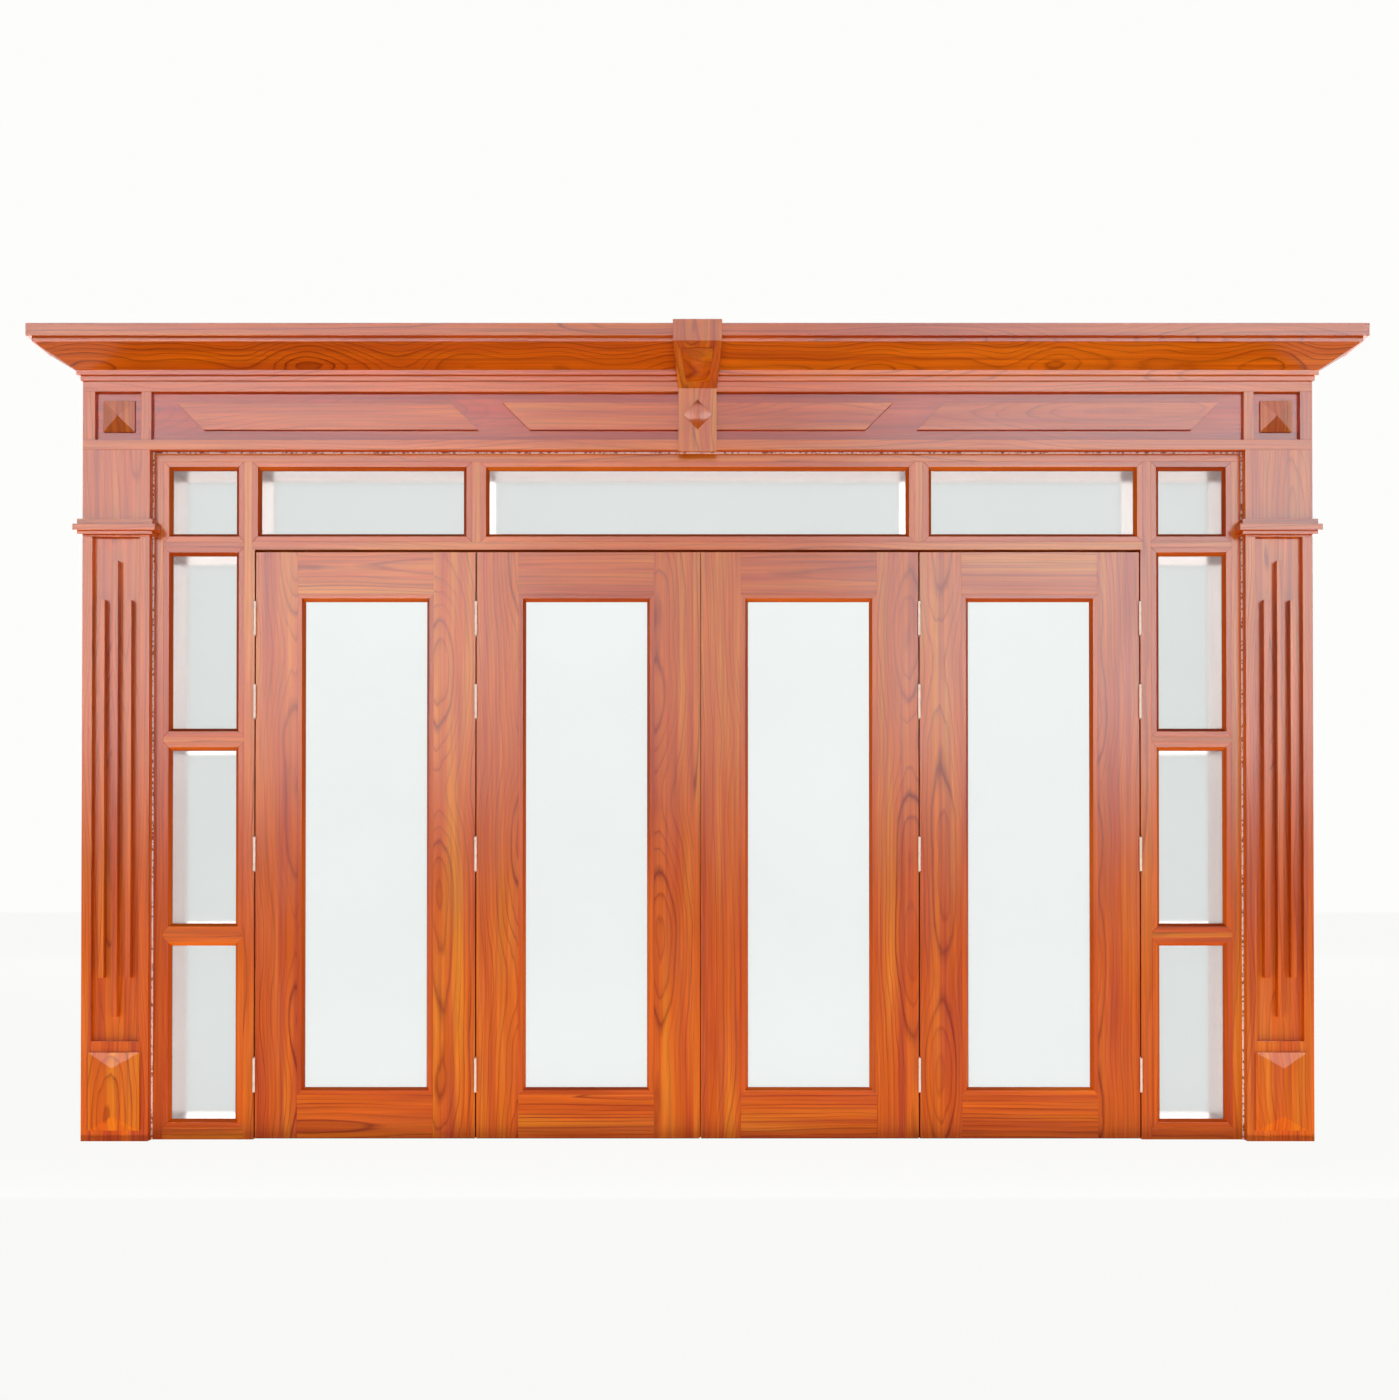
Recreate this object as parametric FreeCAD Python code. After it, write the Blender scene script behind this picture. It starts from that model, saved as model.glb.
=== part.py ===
import FreeCAD, Part
import os

# Timber doorway: a glazed frame with four folding leaves, and a classical surround.
# All sizes are millimetres. While the pieces are made, x runs from the middle of the
# doorway, y from the front of the frame towards its back, and z up from the floor.

# Outer frame and the doorway in it
frame_depth = 200.0
outer_post_width = 47.0
door_half_opening = 1662.0
jamb_width = 40.0
transom_housing = 9.0
transom_rail_height = 29.5
transom_light_height = 301.5
head_height = 42.0
transom_mullion_width = 33.0

# Sidelights, three equal panes below the transom and one beside it
sidelight_width = 302.0
sidelight_sill_height = 44.0
sidelight_rail_height = 20.0
sidelight_lower_panes = 3

# Beads and glass of the fixed lights
frame_bead_flat = 20.0
frame_bead_bevel = 12.0
frame_bead_depth = 15.0
glass_thickness = 6.0
glass_edge_clearance = 2.0
mitre_gap = 0.5

# Leaves
leaf_height = 2195.5
leaf_thickness = 40.0
leaf_floor_gap = 6.0
leaf_head_gap = 9.5
hinge_gap = 5.0
meeting_gap = 7.0
meeting_offset = 9.0
stile_width = 157.0
meeting_stile_reach = 163.0
top_rail_height = 158.0
bottom_rail_height = 161.0
leaf_bead_flat = 16.0
leaf_bead_bevel = 11.0
leaf_bead_depth = 18.0

# Stops that the leaves close against
stop_width = 14.0
stop_depth = 15.0
stop_clearance = 6.0
stop_joint = 1.0

# Butt hinges
hinge_length = 127.0
hinge_knuckle_radius = 5.5
hinge_pin_radius = 2.5
hinge_running_clearance = 0.08
hinge_knuckle_count = 5
hinge_knuckle_gap = 0.4
hinge_flap_thickness = 2.0
hinge_flap_width = 32.0
hinge_face_clearance = 1.0
bottom_hinge_height = 235.0
middle_hinge_height = 1062.0
top_hinge_drop = 249.0
upper_hinge_spacing = 312.0

# Pilasters
pilaster_width = 250.0
pilaster_thickness = 45.0
casing_lap = 8.0
plinth_height = 371.5
recess_side_margin = 37.0
recess_depth = 24.0
recess_head_margin = 7.0
reed_width = 20.0
reed_depth = 30.0
reed_pitch = 49.5
reed_end_margin = 90.0
outer_reed_step = 146.0
base_panel_side_margin = 30.0
base_panel_foot_margin = 41.0
base_panel_head_margin = 41.0
base_panel_edge = 9.0
base_panel_rise = 25.0
base_panel_hip = 56.0
cap_block_height = 261.0
cap_upper_height = 21.0
cap_middle_height = 23.0
cap_lower_height = 13.0
cap_narrow_projection = 15.5
cap_wide_projection = 28.0

# Seal between the surround and the frame
seal_width = 4.0
seal_depth = 6.0

# Frieze
frieze_board_thickness = 26.0
frieze_bottom_rail_height = 38.0
frieze_field_height = 179.0
frieze_top_rail_height = 39.0
frieze_upright_width = 37.0
frieze_upright_step_in = 5.0
frieze_end_stile_width = 45.0
corner_pyramid_width = 117.0
corner_pyramid_edge = 9.0
corner_pyramid_rise = 13.0
lozenge_height = 102.0
lozenge_thickness = 12.0
middle_lozenge_length = 1358.0
lozenge_spacing = 192.0
lozenge_end_margin = 142.5

# Cornice
lower_fillet_height = 19.0
lower_fillet_projection = 7.0
upper_fillet_height = 18.0
upper_fillet_projection = 18.5
soffit_height = 68.0
soffit_foot_projection = 21.0
soffit_head_projection = 132.0
soffit_board_width = 38.0
crown_fillet_height = 17.0
crown_fillet_projection = 138.5
fascia_height = 46.0
fascia_projection = 155.0
fascia_back_projection = 106.0
top_board_thickness = 20.0

# Keystone
keystone_half_width = 89.5
keystone_foot_half_width = 71.0
keystone_projection = 175.0
keystone_foot_projection = 16.0
keystone_front_height = 79.0
keystone_rise_above_cornice = 8.0
keystone_foot_drop = 30.5
keystone_panel_margin = 30.0
keystone_panel_edge = 4.0
keystone_panel_rise = 12.0
keystone_panel_hip = 30.0
keystone_plate_half_width = 71.5
keystone_plate_projection = 15.0
keystone_plate_foot_drop = 10.5
diamond_half_diagonal = 55.0
diamond_edge = 3.0
diamond_rise = 9.0

# Heights and lines that several pieces share
leaf_top = leaf_floor_gap + leaf_height
doorway_height = leaf_top + leaf_head_gap
transom_top = doorway_height + transom_rail_height
head_bottom = transom_top + transom_light_height
frame_height = head_bottom + head_height
jamb_outer = door_half_opening + jamb_width
jamb_upper_inner = door_half_opening + transom_housing
outer_post_inner = jamb_outer + sidelight_width
frame_half_width = outer_post_inner + outer_post_width
fold_line = door_half_opening / 2.0
casing_inner = frame_half_width - casing_lap
casing_outer = casing_inner + pilaster_width
pilaster_middle = casing_inner + pilaster_width / 2.0
face_y = -pilaster_thickness
frieze_bottom = frame_height - casing_lap
field_bottom = frieze_bottom + frieze_bottom_rail_height
field_top = field_bottom + frieze_field_height
field_middle = (field_bottom + field_top) / 2.0
frieze_top = field_top + frieze_top_rail_height
cap_top = frieze_bottom - cap_block_height
cap_bottom = cap_top - cap_upper_height - cap_middle_height - cap_lower_height
field_y = -frieze_board_thickness
lower_fillet_top = frieze_top + lower_fillet_height
upper_fillet_top = lower_fillet_top + upper_fillet_height
soffit_top = upper_fillet_top + soffit_height
crown_fillet_top = soffit_top + crown_fillet_height
cornice_top = crown_fillet_top + fascia_height

sides = {"left": -1, "right": 1}


# Small helpers for solids

def box(x0, x1, y0, y1, z0, z1):
    low = FreeCAD.Vector(min(x0, x1), min(y0, y1), min(z0, z1))
    return Part.makeBox(abs(x1 - x0), abs(y1 - y0), abs(z1 - z0), low)


def face_through(points):
    distinct = []
    for point in points:
        if all(point.distanceToPoint(other) > 1e-6 for other in distinct):
            distinct.append(point)
    if len(distinct) < 3:
        return None
    return Part.Face(Part.makePolygon(distinct + distinct[:1]))


def solid_through(rings):
    # Rings of as many points each; the last may close to a ridge or to one point.
    rings = [[FreeCAD.Vector(*point) for point in ring] for ring in rings]
    faces = [face_through(rings[0]), face_through(rings[-1])]
    for lower, upper in zip(rings, rings[1:]):
        for i in range(len(lower)):
            j = (i + 1) % len(lower)
            faces.append(face_through([lower[i], lower[j], upper[j], upper[i]]))
    shell = Part.makeShell([face for face in faces if face])
    shell.sewShape()
    solid = Part.makeSolid(shell)
    if solid.Volume < 0:
        solid.reverse()
    return solid


def write(node, solids):
    flat = [solid for shape in solids for solid in shape.Solids]
    shape = Part.makeCompound(flat)
    # The origin of the part is on the outer face of the left post, at its front foot.
    shape.translate(FreeCAD.Vector(frame_half_width, 0, 0))
    shape.exportStep("parts/" + node + ".step")


# Glazed openings: mitred beads or linings in front of and behind a pane

def mitred_ring(opening, wide_face_y, glass_y, flat, bevel):
    x0, x1, z0, z1 = opening
    corners = [(x0, z0), (x1, z0), (x1, z1), (x0, z1)]
    profile = [(0, wide_face_y), (flat, wide_face_y), (flat + bevel, glass_y), (0, glass_y)]
    strips = []
    for i in range(4):
        start = corners[i]
        end = corners[(i + 1) % 4]
        length = abs(end[0] - start[0]) + abs(end[1] - start[1])
        along = ((end[0] - start[0]) / length, (end[1] - start[1]) / length)
        inward = (-along[1], along[0])
        rings = []
        for corner, run in ((start, 1), (end, -1)):
            ring = []
            for distance, y in profile:
                step = run * (distance + mitre_gap / 2.0)
                x = corner[0] + along[0] * step + inward[0] * distance
                z = corner[1] + along[1] * step + inward[1] * distance
                ring.append((x, y, z))
            rings.append(ring)
        strips.append(solid_through(rings))
    return strips


def beads(opening, front_depth, flat, bevel, back_y):
    front = mitred_ring(opening, 0, front_depth, flat, bevel)
    back = mitred_ring(opening, back_y, front_depth + glass_thickness, flat, bevel)
    return front + back


def pane(opening, front_depth):
    x0, x1, z0, z1 = opening
    c = glass_edge_clearance
    return box(x0 + c, x1 - c, front_depth, front_depth + glass_thickness, z0 + c, z1 - c)


# Outer frame

def sidelight_rail_levels():
    levels = [(0, sidelight_sill_height)]
    rails_in_run = sidelight_rail_height * (sidelight_lower_panes - 1)
    clear = transom_top - sidelight_rail_height - sidelight_sill_height - rails_in_run
    pane_height = clear / sidelight_lower_panes
    z = sidelight_sill_height
    for _ in range(sidelight_lower_panes):
        z += pane_height
        levels.append((z, z + sidelight_rail_height))
        z += sidelight_rail_height
    return levels


def sidelight_openings():
    levels = sidelight_rail_levels()
    tops = [bottom for bottom, _ in levels[1:]] + [head_bottom]
    openings = []
    for sign in sides.values():
        low, high = sorted((sign * jamb_outer, sign * outer_post_inner))
        for (_, bottom), top in zip(levels, tops):
            openings.append((low, high, bottom, top))
    return openings


def transom_openings():
    half = transom_mullion_width / 2.0
    lines = [-jamb_upper_inner, -fold_line, fold_line, jamb_upper_inner]
    openings = []
    for i in range(3):
        low = lines[i] + (half if i > 0 else 0)
        high = lines[i + 1] - (half if i < 2 else 0)
        openings.append((low, high, transom_top, head_bottom))
    return openings


def make_frame():
    for side, sign in sides.items():
        outer = sign * frame_half_width
        post = box(outer, sign * outer_post_inner, 0, frame_depth, 0, head_bottom)
        write(side + "_outer_post", [post])
        housing = box(sign * door_half_opening, sign * jamb_upper_inner,
                      0, frame_depth, doorway_height, head_bottom)
        jamb = box(sign * door_half_opening, sign * jamb_outer, 0, frame_depth, 0, head_bottom)
        write(side + "_jamb_post", [jamb.cut(housing)])
    head = box(-frame_half_width, frame_half_width, 0, frame_depth, head_bottom, frame_height)
    write("frame_head", [head])
    rail = box(-jamb_upper_inner, jamb_upper_inner, 0, frame_depth, doorway_height, transom_top)
    write("transom_rail", [rail])
    half = transom_mullion_width / 2.0
    mullions = []
    for sign in sides.values():
        x = sign * fold_line
        mullions.append(box(x - half, x + half, 0, frame_depth, transom_top, head_bottom))
    write("transom_mullions", mullions)
    rails = []
    for sign in sides.values():
        for bottom, top in sidelight_rail_levels():
            rails.append(box(sign * jamb_outer, sign * outer_post_inner,
                             0, frame_depth, bottom, top))
    write("sidelight_rails", rails)


def make_fixed_glazing():
    # Beads hold each pane from the front against a lining as deep as the rest of the frame.
    lining_width = frame_bead_flat + frame_bead_bevel
    lining_front = frame_bead_depth + glass_thickness
    for name, openings in (("sidelight", sidelight_openings()), ("transom", transom_openings())):
        strips = []
        linings = []
        panes = []
        for opening in openings:
            strips += mitred_ring(opening, 0, frame_bead_depth, frame_bead_flat, frame_bead_bevel)
            linings += mitred_ring(opening, frame_depth, lining_front, lining_width, 0)
            panes.append(pane(opening, frame_bead_depth))
        write(name + "_beads", strips)
        write(name + "_linings", linings)
        write(name + "_glass", panes)


def make_door_stops():
    y0 = leaf_thickness + stop_clearance
    y1 = y0 + stop_depth
    z = doorway_height - stop_width
    stops = [box(-door_half_opening, door_half_opening, y0, y1, z, doorway_height)]
    for sign in sides.values():
        stops.append(box(sign * door_half_opening, sign * (door_half_opening - stop_width),
                         y0, y1, 0, z - stop_joint))
    write("door_stops", stops)


# Hinges: the knuckles stand in front of the leaves, the flaps lie in the gaps

def hinge_heights():
    top = leaf_top - top_hinge_drop
    return [leaf_floor_gap + bottom_hinge_height,
            leaf_floor_gap + middle_hinge_height,
            top - upper_hinge_spacing,
            top]


def hinge_half(pin_x, sign, holds_pin, middle_z):
    # The half whose flap lies on the side that sign points to.
    pin_y = -hinge_knuckle_radius - hinge_face_clearance
    bottom = middle_z - hinge_length / 2.0
    knuckle_length = hinge_length / hinge_knuckle_count
    outer = sign * hinge_gap / 2.0
    inner = outer - sign * hinge_flap_thickness
    half = box(pin_x + outer, pin_x + inner, hinge_face_clearance, hinge_flap_width,
               bottom, bottom + hinge_length)
    for i in range(hinge_knuckle_count):
        if (i % 2 == 0) != holds_pin:
            continue
        z0 = bottom + i * knuckle_length + hinge_knuckle_gap / 2.0
        z1 = bottom + (i + 1) * knuckle_length - hinge_knuckle_gap / 2.0
        base = FreeCAD.Vector(pin_x, pin_y, z0)
        knuckle = Part.makeCylinder(hinge_knuckle_radius, z1 - z0, base)
        web = box(pin_x + outer, pin_x + inner, pin_y, hinge_face_clearance, z0, z1)
        half = half.fuse(knuckle).fuse(web)
    base = FreeCAD.Vector(pin_x, pin_y, bottom)
    if holds_pin:
        half = half.fuse(Part.makeCylinder(hinge_pin_radius, hinge_length, base))
    else:
        bore_radius = hinge_pin_radius + hinge_running_clearance
        half = half.cut(Part.makeCylinder(bore_radius, hinge_length, base))
    return half.removeSplitter()


def hinge_halves(pin_x, sign, holds_pin):
    return [hinge_half(pin_x, sign, holds_pin, z) for z in hinge_heights()]


# Leaves, numbered from left to right

def leaf_edges():
    jamb_edge = door_half_opening - hinge_gap
    fold_outer = fold_line + hinge_gap / 2.0
    fold_inner = fold_line - hinge_gap / 2.0
    meeting = meeting_gap / 2.0
    return [(-jamb_edge, -fold_outer),
            (-fold_inner, meeting_offset - meeting),
            (meeting_offset + meeting, fold_inner),
            (fold_outer, jamb_edge)]


def leaf_opening_edges():
    # The meeting stiles reach equally far from the middle of the doorway.
    outer, inner = leaf_edges()[0], leaf_edges()[1]
    side_leaf = (outer[0] + stile_width, outer[1] - stile_width)
    middle_leaf = (inner[0] + stile_width, -meeting_stile_reach)
    return [side_leaf, middle_leaf,
            (-middle_leaf[1], -middle_leaf[0]), (-side_leaf[1], -side_leaf[0])]


def make_leaves():
    rail_bottom = leaf_top - top_rail_height
    rail_top = leaf_floor_gap + bottom_rail_height
    glazed = zip(leaf_edges(), leaf_opening_edges())
    for number, ((low, high), (open_low, open_high)) in enumerate(glazed, start=1):
        leaf = "leaf_" + str(number)
        stiles = [box(low, open_low, 0, leaf_thickness, leaf_floor_gap, leaf_top),
                  box(open_high, high, 0, leaf_thickness, leaf_floor_gap, leaf_top)]
        write(leaf + "_stiles", stiles)
        rails = [box(open_low, open_high, 0, leaf_thickness, leaf_floor_gap, rail_top),
                 box(open_low, open_high, 0, leaf_thickness, rail_bottom, leaf_top)]
        write(leaf + "_rails", rails)
        opening = (open_low, open_high, rail_top, rail_bottom)
        strips = beads(opening, leaf_bead_depth, leaf_bead_flat, leaf_bead_bevel, leaf_thickness)
        write(leaf + "_beads", strips)
        write(leaf + "_glass", [pane(opening, leaf_bead_depth)])


def make_hinges():
    jamb_pin = door_half_opening - hinge_gap / 2.0
    write("jamb_hinges", hinge_halves(-jamb_pin, -1, True) + hinge_halves(jamb_pin, 1, True))
    write("leaf_1_hinges", hinge_halves(-jamb_pin, 1, False) + hinge_halves(-fold_line, -1, True))
    write("leaf_2_hinges", hinge_halves(-fold_line, 1, False))
    write("leaf_3_hinges", hinge_halves(fold_line, -1, False))
    write("leaf_4_hinges", hinge_halves(jamb_pin, -1, False) + hinge_halves(fold_line, 1, True))


# Pilasters

def wrapped_band(sign, projection, z0, z1):
    band = box(sign * (casing_inner - projection), sign * (casing_outer + projection),
               face_y - projection, 0, z0, z1)
    return band.cut(box(sign * casing_inner, sign * casing_outer, face_y, 0, z0, z1))


def upright_hipped_panel(x, y, z0, z1, half_width, edge, rise, hip):
    # Stands on a face at y and rises towards the front.
    corners = [(x - half_width, z0), (x + half_width, z0), (x + half_width, z1), (x - half_width, z1)]
    crest = [(x, z0 + hip), (x, z0 + hip), (x, z1 - hip), (x, z1 - hip)]
    levels = ((corners, y), (corners, y - edge), (crest, y - edge - rise))
    return solid_through([[(px, level, pz) for px, pz in ring] for ring, level in levels])


def make_pilasters():
    recess_top = cap_bottom - recess_head_margin
    recess_y = face_y + recess_depth
    recess_inner = casing_inner + recess_side_margin
    recess_outer = casing_outer - recess_side_margin
    lower_top = cap_bottom + cap_lower_height
    middle_top = lower_top + cap_middle_height
    panel_half_width = pilaster_width / 2.0 - base_panel_side_margin
    plinths = []
    heads = []
    edge_boards = []
    sunk_panels = []
    reeds = []
    caps = []
    base_panels = []
    for sign in sides.values():
        plinths.append(box(sign * recess_inner, sign * recess_outer, face_y, 0, 0, plinth_height))
        heads.append(box(sign * casing_inner, sign * casing_outer, face_y, 0,
                         recess_top, frieze_bottom))
        for x0, x1 in ((casing_inner, recess_inner), (recess_outer, casing_outer)):
            edge_boards.append(box(sign * x0, sign * x1, face_y, 0, 0, recess_top))
        sunk_panels.append(box(sign * recess_inner, sign * recess_outer, recess_y, 0,
                               plinth_height, recess_top))
        for step in (-1, 0, 1):
            x = sign * pilaster_middle + step * reed_pitch
            margin = reed_end_margin + abs(step) * outer_reed_step
            reeds.append(box(x - reed_width / 2.0, x + reed_width / 2.0,
                             recess_y - reed_depth, recess_y,
                             plinth_height + margin, recess_top - margin))
        cap = wrapped_band(sign, cap_narrow_projection, cap_bottom, lower_top)
        cap = cap.fuse(wrapped_band(sign, cap_wide_projection, lower_top, middle_top))
        caps.append(cap.fuse(wrapped_band(sign, cap_narrow_projection, middle_top, cap_top)))
        base_panels.append(upright_hipped_panel(sign * pilaster_middle, face_y,
                                                base_panel_foot_margin,
                                                plinth_height - base_panel_head_margin,
                                                panel_half_width, base_panel_edge,
                                                base_panel_rise, base_panel_hip))
    write("pilaster_plinths", plinths)
    write("pilaster_heads", heads)
    write("pilaster_edge_boards", edge_boards)
    write("pilaster_sunk_panels", sunk_panels)
    write("pilaster_reeds", reeds)
    write("pilaster_caps", caps)
    write("pilaster_base_panels", base_panels)


def make_perimeter_seal():
    strips = []
    for sign in sides.values():
        inner = sign * (casing_inner - seal_width)
        for z0, z1 in ((0, cap_bottom), (cap_top, frieze_bottom)):
            strips.append(box(sign * casing_inner, inner, -seal_depth, 0, z0, z1))
    end = casing_inner - seal_width - mitre_gap
    strips.append(box(-end, end, -seal_depth, 0, frieze_bottom - seal_width, frieze_bottom))
    write("perimeter_seal", strips)


# Frieze

def lozenge(top_low, top_high, bottom_low, bottom_high):
    z0 = field_middle - lozenge_height / 2.0
    z1 = field_middle + lozenge_height / 2.0
    outline = [(bottom_low, z0), (bottom_high, z0), (top_high, z1), (top_low, z1)]
    levels = (field_y, field_y - lozenge_thickness)
    return solid_through([[(x, y, z) for x, z in outline] for y in levels])


def make_frieze():
    board = box(-casing_outer, casing_outer, field_y, 0, frieze_bottom, frieze_top)
    write("frieze_board", [board])
    rails = [box(-casing_outer, casing_outer, face_y, field_y, frieze_bottom, field_bottom),
             box(-casing_outer, casing_outer, face_y, field_y, field_top, frieze_top)]
    write("frieze_rails", rails)
    upright_inner = casing_inner - frieze_upright_step_in
    upright_outer = upright_inner + frieze_upright_width
    stile_inner = casing_outer - frieze_end_stile_width
    uprights = []
    pyramids = []
    lozenges = []
    lean = lozenge_height / 2.0
    half = middle_lozenge_length / 2.0
    lozenges.append(lozenge(-half - lean, half + lean, -half + lean, half - lean))
    for sign in sides.values():
        for inner, outer in ((upright_inner, upright_outer), (stile_inner, casing_outer)):
            uprights.append(box(sign * inner, sign * outer, face_y, field_y,
                                field_bottom, field_top))
        x = sign * (upright_outer + stile_inner) / 2.0
        radius = corner_pyramid_width / 2.0
        pyramids.append(upright_hipped_panel(x, field_y, field_middle - radius,
                                             field_middle + radius, radius,
                                             corner_pyramid_edge, corner_pyramid_rise, radius))
        near = half + lozenge_spacing
        far = upright_inner - lozenge_end_margin
        tops = sorted((sign * (near + lean), sign * (far + lean)))
        feet = sorted((sign * (near - lean), sign * (far - lean)))
        lozenges.append(lozenge(tops[0], tops[1], feet[0], feet[1]))
    write("frieze_uprights", uprights)
    write("frieze_corner_pyramids", pyramids)
    write("frieze_lozenges", lozenges)


# Keystone

def keystone_block():
    foot = frieze_top - keystone_foot_drop
    top = cornice_top + keystone_rise_above_cornice
    levels = ((foot, keystone_foot_half_width, keystone_foot_projection),
              (top - keystone_front_height, keystone_half_width, keystone_projection),
              (top, keystone_half_width, keystone_projection))
    rings = []
    for z, half, projection in levels:
        front = face_y - projection
        rings.append([(-half, face_y, z), (half, face_y, z), (half, front, z), (-half, front, z)])
    return solid_through(rings)


def keystone_panel():
    # A hipped panel planted on the sloping face of the block.
    foot = frieze_top - keystone_foot_drop
    slope_top = cornice_top + keystone_rise_above_cornice - keystone_front_height
    run = keystone_projection - keystone_foot_projection
    rise = slope_top - foot
    length = (run ** 2 + rise ** 2) ** 0.5
    normal = FreeCAD.Vector(0, -rise / length, -run / length)

    def on_slope(distance, side, inset, lift):
        share = distance / length
        half = keystone_foot_half_width + share * (keystone_half_width - keystone_foot_half_width)
        base = FreeCAD.Vector(side * (half - inset), face_y - keystone_foot_projection - share * run,
                              foot + share * rise)
        return tuple(base + normal * lift)

    margin = keystone_panel_margin
    crest = keystone_panel_edge + keystone_panel_rise
    rings = []
    for inset, lift in ((margin, 0), (margin, keystone_panel_edge),
                        (margin + keystone_panel_hip, crest)):
        rings.append([on_slope(inset, -1, inset, lift), on_slope(inset, 1, inset, lift),
                      on_slope(length - inset, 1, inset, lift),
                      on_slope(length - inset, -1, inset, lift)])
    return solid_through(rings)


def keystone_diamond(plate_y):
    r = diamond_half_diagonal
    corners = [(0, -r), (r, 0), (0, r), (-r, 0)]
    edge_y = plate_y - diamond_edge
    rings = [[(x, y, field_middle + z) for x, z in corners] for y in (plate_y, edge_y)]
    rings.append([(0, edge_y - diamond_rise, field_middle)] * 4)
    return solid_through(rings)


def make_keystone():
    write("keystone_block", [keystone_block()])
    plate_y = face_y - keystone_plate_projection
    half = keystone_plate_half_width
    plate = box(-half, half, plate_y, face_y, frieze_bottom - keystone_plate_foot_drop,
                frieze_top - keystone_foot_drop)
    write("keystone_plate", [plate])
    write("keystone_raised_panels", [keystone_panel(), keystone_diamond(plate_y)])


# Cornice: boards that run along the front and return to the wall at both ends

def cornice_run(profile):
    # The profile is a list of projection and height from the face of the surround.
    gap = mitre_gap / 2.0
    front = []
    for sign in (-1, 1):
        front.append([(sign * (casing_outer + p - gap), face_y - p, z) for p, z in profile])
    pieces = [solid_through(front).cut(keystone_block())]
    for sign in sides.values():
        mitre = [(sign * (casing_outer + p), face_y - p + gap, z) for p, z in profile]
        wall = [(sign * (casing_outer + p), 0, z) for p, z in profile]
        pieces.append(solid_through([mitre, wall]))
    return pieces


def make_cornice():
    core = box(-casing_outer, casing_outer, face_y, 0, frieze_top, cornice_top - top_board_thickness)
    write("cornice_core", [core])
    bed = [(0, frieze_top), (lower_fillet_projection, frieze_top),
           (lower_fillet_projection, lower_fillet_top),
           (upper_fillet_projection, lower_fillet_top),
           (upper_fillet_projection, upper_fillet_top), (0, upper_fillet_top)]
    write("cornice_bed_moulding", cornice_run(bed))
    slope = soffit_height / (soffit_head_projection - soffit_foot_projection)
    inner_head = soffit_head_projection - soffit_board_width
    soffit = [(0, upper_fillet_top), (soffit_foot_projection, upper_fillet_top),
              (soffit_head_projection, soffit_top), (inner_head, soffit_top),
              (0, soffit_top - inner_head * slope)]
    write("cornice_soffit", cornice_run(soffit))
    fascia = [(fascia_back_projection, soffit_top), (crown_fillet_projection, soffit_top),
              (crown_fillet_projection, crown_fillet_top), (fascia_projection, crown_fillet_top),
              (fascia_projection, cornice_top), (fascia_back_projection, cornice_top)]
    write("cornice_fascia", cornice_run(fascia))
    reach = casing_outer + fascia_back_projection
    top_board = box(-reach, reach, face_y - fascia_back_projection, 0,
                    cornice_top - top_board_thickness, cornice_top)
    write("cornice_top_board", [top_board.cut(keystone_block())])


os.makedirs("parts", exist_ok=True)
make_frame()
make_fixed_glazing()
make_door_stops()
make_leaves()
make_hinges()
make_pilasters()
make_perimeter_seal()
make_frieze()
make_keystone()
make_cornice()
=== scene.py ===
import math
import random

import bmesh
import bpy
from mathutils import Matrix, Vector


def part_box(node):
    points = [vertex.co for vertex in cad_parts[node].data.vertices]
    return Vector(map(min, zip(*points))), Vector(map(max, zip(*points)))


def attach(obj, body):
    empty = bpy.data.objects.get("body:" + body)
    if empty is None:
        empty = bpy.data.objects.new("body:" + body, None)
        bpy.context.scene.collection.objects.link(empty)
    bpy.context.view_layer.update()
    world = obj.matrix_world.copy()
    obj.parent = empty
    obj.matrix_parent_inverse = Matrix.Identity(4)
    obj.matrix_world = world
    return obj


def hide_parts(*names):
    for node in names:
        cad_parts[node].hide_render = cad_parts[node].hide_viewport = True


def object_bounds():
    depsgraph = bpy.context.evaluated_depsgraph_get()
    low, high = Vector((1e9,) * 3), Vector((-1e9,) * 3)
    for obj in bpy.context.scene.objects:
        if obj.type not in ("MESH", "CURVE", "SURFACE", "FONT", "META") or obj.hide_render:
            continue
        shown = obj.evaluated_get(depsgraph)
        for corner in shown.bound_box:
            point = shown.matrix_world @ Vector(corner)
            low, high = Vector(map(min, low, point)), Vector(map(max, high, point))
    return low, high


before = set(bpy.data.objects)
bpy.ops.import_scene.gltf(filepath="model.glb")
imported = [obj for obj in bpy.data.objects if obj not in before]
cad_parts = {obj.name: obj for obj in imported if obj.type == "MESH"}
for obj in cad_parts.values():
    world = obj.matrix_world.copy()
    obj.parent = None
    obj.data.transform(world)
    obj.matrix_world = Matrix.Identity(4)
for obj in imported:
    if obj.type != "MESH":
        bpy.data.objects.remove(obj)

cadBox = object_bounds()
print("frame loaded,", len(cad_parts), "pieces")


# small helpers

def linear(hexColour):  # sRGB hex to the linear colour that shaders take
    parts = [int(hexColour[i:i + 2], 16) / 255 for i in (1, 3, 5)]
    return tuple(p / 12.92 if p <= 0.04045 else ((p + 0.055) / 1.055) ** 2.4
                 for p in parts) + (1.0,)


def addNode(tree, kind, values=None, links=None, **settings):
    node = tree.nodes.new(kind)
    for name, value in settings.items():
        setattr(node, name, value)
    for socket, value in (values or {}).items():
        node.inputs[socket].default_value = value
    for socket, source in (links or {}).items():
        tree.links.new(source, node.inputs[socket])
    return node


def mathStep(tree, operation, *terms):  # each term is a socket or a plain number
    values = {i: term for i, term in enumerate(terms) if isinstance(term, (int, float))}
    links = {i: term for i, term in enumerate(terms) if i not in values}
    return addNode(tree, "ShaderNodeMath", values, links, operation=operation).outputs[0]


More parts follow.
